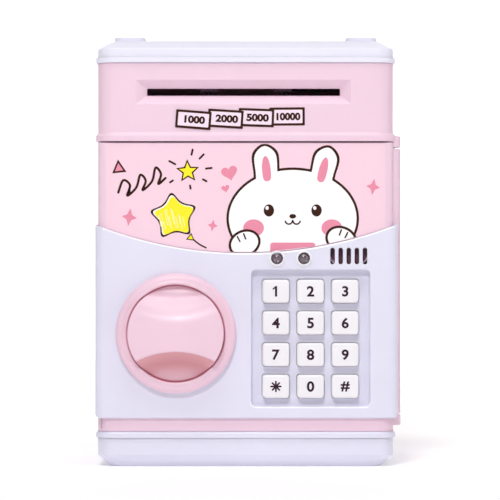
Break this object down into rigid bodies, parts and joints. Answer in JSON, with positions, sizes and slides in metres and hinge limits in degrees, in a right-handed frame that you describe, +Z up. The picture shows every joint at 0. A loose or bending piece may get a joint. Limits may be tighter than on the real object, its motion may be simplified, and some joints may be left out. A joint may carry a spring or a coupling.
{
  "type": "toy safe money bank",
  "caption": "Toy safe money bank: a case with a hinged door, turning knob, number keypad, motor-fed note slot in the header and coin slot on top.",
  "frame": {"origin": "middle of the base's flat underside", "axes": "+X to the right seen from the front, +Y to the back, +Z up; the door faces -Y"},
  "size_m": [0.1364, 0.129, 0.193],
  "materials": {
    "pink_abs": "satin",
    "pink_ring": "satin",
    "lilac_abs": "satin",
    "white_abs": "satin",
    "key_white": "satin, with dark printed digits",
    "print_film": "printed film",
    "plum_abs": "matt, dark",
    "nylon": "natural nylon",
    "steel": "zinc plated",
    "steel_shaft": "ground",
    "motor_can": "nickel plated",
    "roller_rubber": "matt",
    "membrane_rubber": "silicone",
    "sensor_black": "matt",
    "circuit_green": "solder mask",
    "led_red": "clear, unlit, red chip",
    "led_green": "clear, unlit, green chip",
    "speaker_steel": "plated",
    "cone_black": "matt film",
    "cell_wrap": "printed wrap",
    "contact_steel": "nickel plated",
    "copper": "enamelled wire"
  },
  "bodies": {
    "case": {"body_shell": "pink_abs", "doorway_frame": "pink_abs", "top_cap": "lilac_abs", "base_tray": "lilac_abs", "feeder_chassis": "plum_abs", "bill_guide": "plum_abs", "motor": "motor_can", "gear_axle": "steel_shaft", "bill_sensor": "sensor_black", "hinge_pins": "steel_shaft", "base_screws": "steel", "cap_screws": "steel", "chassis_screws": "steel"},
    "drive_roller": {"drive_shaft": "steel_shaft", "drive_rollers": "roller_rubber", "drive_gear": "nylon", "drive_pair_gear": "nylon"},
    "pinch_roller": {"pinch_shaft": "steel_shaft", "pinch_rollers": "roller_rubber", "pinch_gear": "nylon"},
    "reduction": {"reduction_gear": "nylon"},
    "motor_rotor": {"motor_shaft": "steel_shaft", "motor_pinion": "steel"},
    "door": {"door_shell": "pink_abs", "front_panel": "lilac_abs", "print_panel": "print_film", "knob_ring": "pink_ring", "inner_cover": "white_abs", "battery_cover": "white_abs", "battery_cells": "cell_wrap", "battery_contacts": "contact_steel", "key_membrane": "membrane_rubber", "circuit_board": "circuit_green", "red_led": "led_red", "green_led": "led_green", "led_bezels": "white_abs", "speaker_frame": "speaker_steel", "speaker_cone": "cone_black", "cover_screws": "steel", "lock_coil": "copper", "lock_frame": "steel"},
    "knob": {"knob_dial": "pink_ring", "knob_spindle": "nylon", "lock_disc": "nylon", "latch_tongue": "steel", "spindle_screw": "steel"},
    "plunger": {"lock_plunger": "steel_shaft", "plunger_spring": "steel"},
    "key_1": {"key_1": "key_white"},
    "key_2": {"key_2": "key_white"},
    "key_3": {"key_3": "key_white"},
    "key_4": {"key_4": "key_white"},
    "key_5": {"key_5": "key_white"},
    "key_6": {"key_6": "key_white"},
    "key_7": {"key_7": "key_white"},
    "key_8": {"key_8": "key_white"},
    "key_9": {"key_9": "key_white"},
    "key_star": {"key_star": "key_white"},
    "key_0": {"key_0": "key_white"},
    "key_hash": {"key_hash": "key_white"}
  },
  "joints": [
    {"name": "door_swing", "type": "hinge", "parent": "case", "child": "door", "pos_m": [0.0654, -0.05, 0.0835], "axis": [0, 0, 1], "range_deg": [0, 115]},
    {"name": "knob_turn", "type": "hinge", "parent": "door", "child": "knob", "pos_m": [-0.0309, -0.062, 0.0596], "axis": [0, 1, 0], "range_deg": [-90, 0]},
    {"name": "plunger_drop", "type": "slide", "parent": "door", "child": "plunger", "axis": [0, 0, -1], "range_m": [0, 0.003], "deforming": ["plunger_spring"]},
    {"name": "drive_roller_spin", "type": "hinge", "parent": "case", "child": "drive_roller", "pos_m": [0, -0.044, 0.173], "axis": [1, 0, 0], "continuous": true},
    {"name": "pinch_roller_spin", "type": "hinge", "parent": "case", "child": "pinch_roller", "pos_m": [0, -0.044, 0.161], "axis": [1, 0, 0], "continuous": true},
    {"name": "reduction_spin", "type": "hinge", "parent": "case", "child": "reduction", "pos_m": [0.054, -0.03259, 0.17671], "axis": [1, 0, 0], "continuous": true},
    {"name": "motor_spin", "type": "hinge", "parent": "case", "child": "motor_rotor", "pos_m": [0.04, -0.02059, 0.17671], "axis": [1, 0, 0], "continuous": true},
    {"name": "key_1_press", "type": "slide", "parent": "door", "child": "key_1", "axis": [0, 1, 0], "range_m": [0, 0.001], "stiffness_N_per_m": 300},
    {"name": "key_2_press", "type": "slide", "parent": "door", "child": "key_2", "axis": [0, 1, 0], "range_m": [0, 0.001], "stiffness_N_per_m": 300},
    {"name": "key_3_press", "type": "slide", "parent": "door", "child": "key_3", "axis": [0, 1, 0], "range_m": [0, 0.001], "stiffness_N_per_m": 300},
    {"name": "key_4_press", "type": "slide", "parent": "door", "child": "key_4", "axis": [0, 1, 0], "range_m": [0, 0.001], "stiffness_N_per_m": 300},
    {"name": "key_5_press", "type": "slide", "parent": "door", "child": "key_5", "axis": [0, 1, 0], "range_m": [0, 0.001], "stiffness_N_per_m": 300},
    {"name": "key_6_press", "type": "slide", "parent": "door", "child": "key_6", "axis": [0, 1, 0], "range_m": [0, 0.001], "stiffness_N_per_m": 300},
    {"name": "key_7_press", "type": "slide", "parent": "door", "child": "key_7", "axis": [0, 1, 0], "range_m": [0, 0.001], "stiffness_N_per_m": 300},
    {"name": "key_8_press", "type": "slide", "parent": "door", "child": "key_8", "axis": [0, 1, 0], "range_m": [0, 0.001], "stiffness_N_per_m": 300},
    {"name": "key_9_press", "type": "slide", "parent": "door", "child": "key_9", "axis": [0, 1, 0], "range_m": [0, 0.001], "stiffness_N_per_m": 300},
    {"name": "key_star_press", "type": "slide", "parent": "door", "child": "key_star", "axis": [0, 1, 0], "range_m": [0, 0.001], "stiffness_N_per_m": 300},
    {"name": "key_0_press", "type": "slide", "parent": "door", "child": "key_0", "axis": [0, 1, 0], "range_m": [0, 0.001], "stiffness_N_per_m": 300},
    {"name": "key_hash_press", "type": "slide", "parent": "door", "child": "key_hash", "axis": [0, 1, 0], "range_m": [0, 0.001], "stiffness_N_per_m": 300}
  ],
  "couplings": [
    {"joint": "pinch_roller_spin", "follows": "drive_roller_spin", "ratio": -1},
    {"joint": "reduction_spin", "follows": "drive_roller_spin", "ratio": -3},
    {"joint": "motor_spin", "follows": "drive_roller_spin", "ratio": 9}
  ]
}
